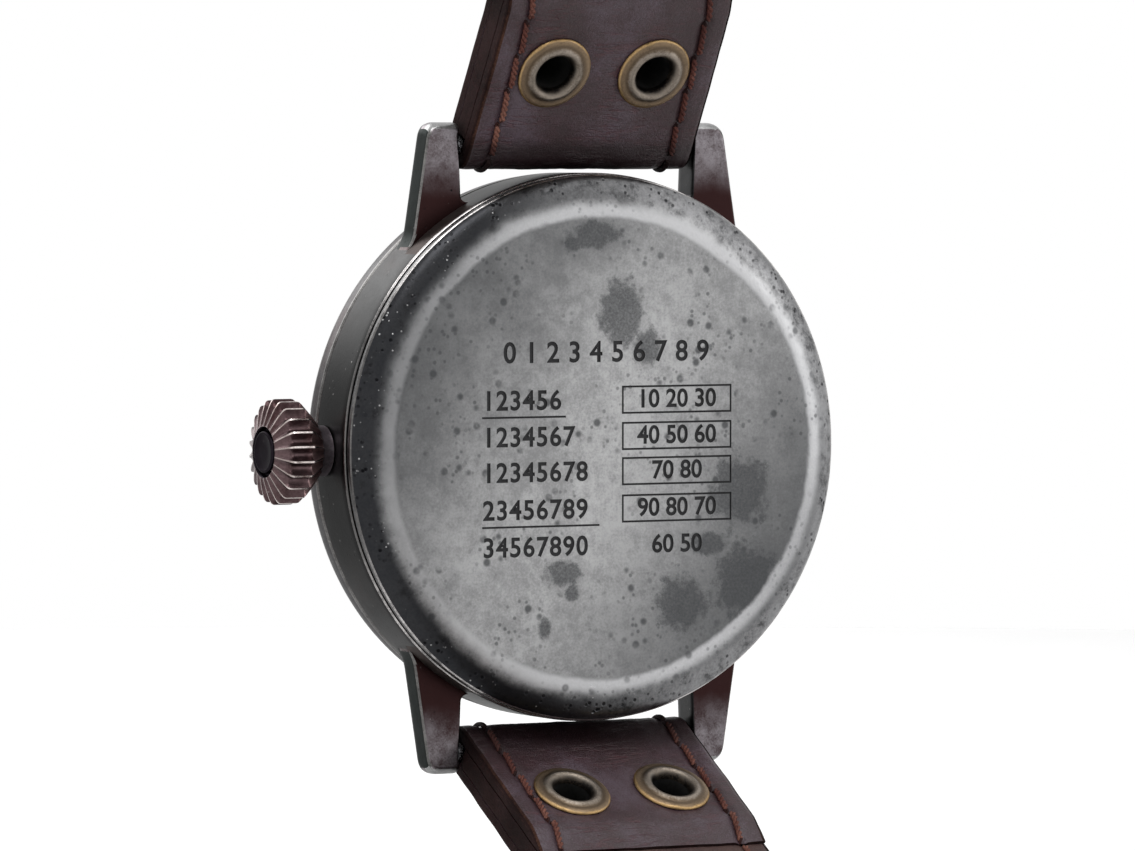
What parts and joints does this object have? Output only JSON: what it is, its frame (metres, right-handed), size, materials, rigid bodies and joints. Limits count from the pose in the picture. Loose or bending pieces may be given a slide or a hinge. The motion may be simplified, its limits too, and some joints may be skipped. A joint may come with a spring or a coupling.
{
  "type": "wristwatch",
  "caption": "Round pilot wristwatch with a fluted onion crown, straight lugs, a screwed case back and a two-piece leather strap with hollow rivets and a pin buckle.",
  "frame": {"origin": "middle of the flat outer face of the case back, which rests on the wrist", "axes": "+Y out of the case back towards the wrist, +X towards 3 o'clock and the crown, +Z towards 12 o'clock"},
  "size_m": [0.0473, 0.1158, 0.11],
  "materials": {
    "case_steel": "aged, fine pits",
    "bright_steel": "worn, half bright",
    "crystal_glass": "clear",
    "seal_rubber": "matt",
    "dial_black": "matt",
    "hand_paint": "satin",
    "plate_nickel": "nickelled, fine grained",
    "wheel_brass": "gilt",
    "movement_steel": "polished",
    "ruby": "polished",
    "outer_leather": "waxed, worn",
    "lining_leather": "waxed",
    "rivet_brass": "aged"
  },
  "bodies": {
    "case": {"mid_case": "case_steel", "spring_bars": "bright_steel", "bezel": "case_steel", "crystal": "crystal_glass", "crystal_gasket": "seal_rubber", "case_back": "case_steel", "case_back_gasket": "seal_rubber", "casing_ring": "wheel_brass", "crown_tube": "bright_steel", "dial": "dial_black", "dial_flange": "dial_black", "setting_jumper": "movement_steel", "main_plate": "plate_nickel", "barrel_bridge": "plate_nickel", "train_bridge": "plate_nickel", "balance_cock": "plate_nickel", "regulator": "movement_steel", "pallet_cock": "plate_nickel", "jewels": "ruby", "bridge_screws": "movement_steel", "click_spring": "movement_steel", "hairspring": "movement_steel"},
    "winding_set": {"winding_pinion": "movement_steel"},
    "crown_set": {"crown": "bright_steel", "crown_gasket": "seal_rubber", "winding_stem": "movement_steel"},
    "clutch": {"sliding_pinion": "movement_steel"},
    "setting_lever": {"setting_lever": "movement_steel"},
    "yoke": {"yoke": "movement_steel"},
    "setting_wheel": {"setting_wheel": "movement_steel"},
    "minute_wheel": {"minute_wheel": "wheel_brass"},
    "barrel": {"barrel_drum": "wheel_brass", "barrel_cover": "wheel_brass", "mainspring": "movement_steel"},
    "ratchet": {"ratchet_wheel": "movement_steel", "barrel_arbor": "movement_steel"},
    "crown_wheel": {"crown_wheel": "movement_steel"},
    "click": {"click": "movement_steel"},
    "minute_set": {"centre_wheel": "wheel_brass", "cannon_pinion": "movement_steel", "minute_hand": "hand_paint"},
    "third_wheel": {"third_wheel": "wheel_brass"},
    "seconds_set": {"fourth_wheel": "wheel_brass", "seconds_hand": "hand_paint"},
    "escape_wheel": {"escape_wheel": "movement_steel"},
    "pallet_fork": {"pallet_fork": "movement_steel"},
    "balance": {"balance_wheel": "wheel_brass"},
    "hour_set": {"hour_wheel": "wheel_brass", "hour_hand": "hand_paint"},
    "strap_12": {"strap_12_leather": "outer_leather", "strap_12_lining": "lining_leather", "rivets_12": "rivet_brass", "fixed_keeper": "outer_leather"},
    "strap_6": {"strap_6_leather": "outer_leather", "strap_6_lining": "lining_leather", "rivets_6": "rivet_brass"},
    "sliding_keeper": {"sliding_keeper": "outer_leather"},
    "buckle": {"buckle_frame": "case_steel", "buckle_bar": "bright_steel"},
    "tongue": {"buckle_tongue": "case_steel"}
  },
  "joints": [
    {"name": "seconds", "type": "hinge", "parent": "case", "child": "seconds_set", "pos_m": [0, 0, 0], "axis": [0, 1, 0], "continuous": true},
    {"name": "minutes", "type": "hinge", "parent": "case", "child": "minute_set", "pos_m": [0, 0, 0], "axis": [0, 1, 0], "continuous": true},
    {"name": "hours", "type": "hinge", "parent": "case", "child": "hour_set", "pos_m": [0, 0, 0], "axis": [0, 1, 0], "continuous": true},
    {"name": "third_turn", "type": "hinge", "parent": "case", "child": "third_wheel", "pos_m": [-0.00728, 0, 0.00236], "axis": [0, 1, 0], "continuous": true},
    {"name": "escape_turn", "type": "hinge", "parent": "case", "child": "escape_wheel", "pos_m": [-0.00168, 0, -0.00729], "axis": [0, 1, 0], "continuous": true},
    {"name": "barrel_turn", "type": "hinge", "parent": "case", "child": "barrel", "pos_m": [0.00383, 0, 0.0072], "axis": [0, 1, 0], "continuous": true},
    {"name": "minute_wheel_turn", "type": "hinge", "parent": "case", "child": "minute_wheel", "pos_m": [0.00312, 0, 0], "axis": [0, 1, 0], "continuous": true},
    {"name": "setting_wheel_turn", "type": "hinge", "parent": "case", "child": "setting_wheel", "pos_m": [0.00702, 0, 0], "axis": [0, 1, 0], "continuous": true},
    {"name": "balance_swing", "type": "hinge", "parent": "case", "child": "balance", "pos_m": [0.0058, 0, -0.01005], "axis": [0, 1, 0], "range_deg": [-135, 135], "stiffness_Nm_per_rad": 0.00000026},
    {"name": "pallet_swing", "type": "hinge", "parent": "case", "child": "pallet_fork", "pos_m": [0.00123, 0, -0.00836], "axis": [0, 1, 0], "range_deg": [-5.5, 5.5]},
    {"name": "crown_turn", "type": "hinge", "parent": "case", "child": "winding_set", "pos_m": [0, -0.0053, 0], "axis": [1, 0, 0], "continuous": true},
    {"name": "crown_pull", "type": "slide", "parent": "winding_set", "child": "crown_set", "axis": [1, 0, 0], "range_m": [0, 0.0009]},
    {"name": "clutch_slide", "type": "slide", "parent": "winding_set", "child": "clutch", "axis": [1, 0, 0], "range_m": [-0.0009, 0]},
    {"name": "setting_lever_turn", "type": "hinge", "parent": "case", "child": "setting_lever", "pos_m": [0.0134, 0, -0.0044], "axis": [0, 1, 0], "range_deg": [0, 10.5]},
    {"name": "yoke_turn", "type": "hinge", "parent": "case", "child": "yoke", "pos_m": [0.0089, 0, -0.005], "axis": [0, 1, 0], "range_deg": [-14, 0]},
    {"name": "crown_wheel_turn", "type": "hinge", "parent": "case", "child": "crown_wheel", "pos_m": [0.011, 0, 0], "axis": [0, 1, 0], "continuous": true},
    {"name": "ratchet_turn", "type": "hinge", "parent": "case", "child": "ratchet", "pos_m": [0.00383, 0, 0.0072], "axis": [0, 1, 0], "continuous": true},
    {"name": "click_lift", "type": "hinge", "parent": "case", "child": "click", "pos_m": [0.00074, 0, 0.01465], "axis": [0, 1, 0], "range_deg": [0, 6], "stiffness_Nm_per_rad": 0.0001},
    {"name": "strap_12_swing", "type": "hinge", "parent": "case", "child": "strap_12", "pos_m": [0, -0.0051, 0.02315], "axis": [-1, 0, 0], "range_deg": [-31, 40]},
    {"name": "strap_6_swing", "type": "hinge", "parent": "case", "child": "strap_6", "pos_m": [0, -0.0051, -0.02315], "axis": [1, 0, 0], "range_deg": [-59.5, 18.5]},
    {"name": "buckle_swing", "type": "hinge", "parent": "strap_12", "child": "buckle", "pos_m": [0, 0.05411, 0.06254], "axis": [-1, 0, 0], "range_deg": [-40, 40]},
    {"name": "tongue_swing", "type": "hinge", "parent": "buckle", "child": "tongue", "pos_m": [0, 0.05411, 0.06254], "axis": [1, 0, 0], "range_deg": [0, 75]},
    {"name": "keeper_slide", "type": "slide", "parent": "strap_12", "child": "sliding_keeper", "axis": [0, 0.9781, 0.2079], "range_m": [-0.0025, 0.0025]}
  ],
  "couplings": [
    {"joint": "third_turn", "follows": "seconds", "ratio": -0.13333},
    {"joint": "minutes", "follows": "seconds", "ratio": 0.016667},
    {"joint": "hours", "follows": "seconds", "ratio": 0.0013889},
    {"joint": "minute_wheel_turn", "follows": "seconds", "ratio": -0.0055556},
    {"joint": "setting_wheel_turn", "follows": "seconds", "ratio": 0.0083333},
    {"joint": "barrel_turn", "follows": "seconds", "ratio": -0.002381},
    {"joint": "escape_turn", "follows": "seconds", "ratio": -10},
    {"joint": "pallet_swing", "follows": "balance_swing", "ratio": 0.037037},
    {"joint": "clutch_slide", "follows": "crown_pull", "ratio": -1},
    {"joint": "setting_lever_turn", "follows": "crown_pull", "rad_per_m": 193},
    {"joint": "yoke_turn", "follows": "crown_pull", "rad_per_m": -260},
    {"joint": "crown_wheel_turn", "follows": "crown_turn", "ratio": -0.5},
    {"joint": "ratchet_turn", "follows": "crown_turn", "ratio": 0.3}
  ]
}
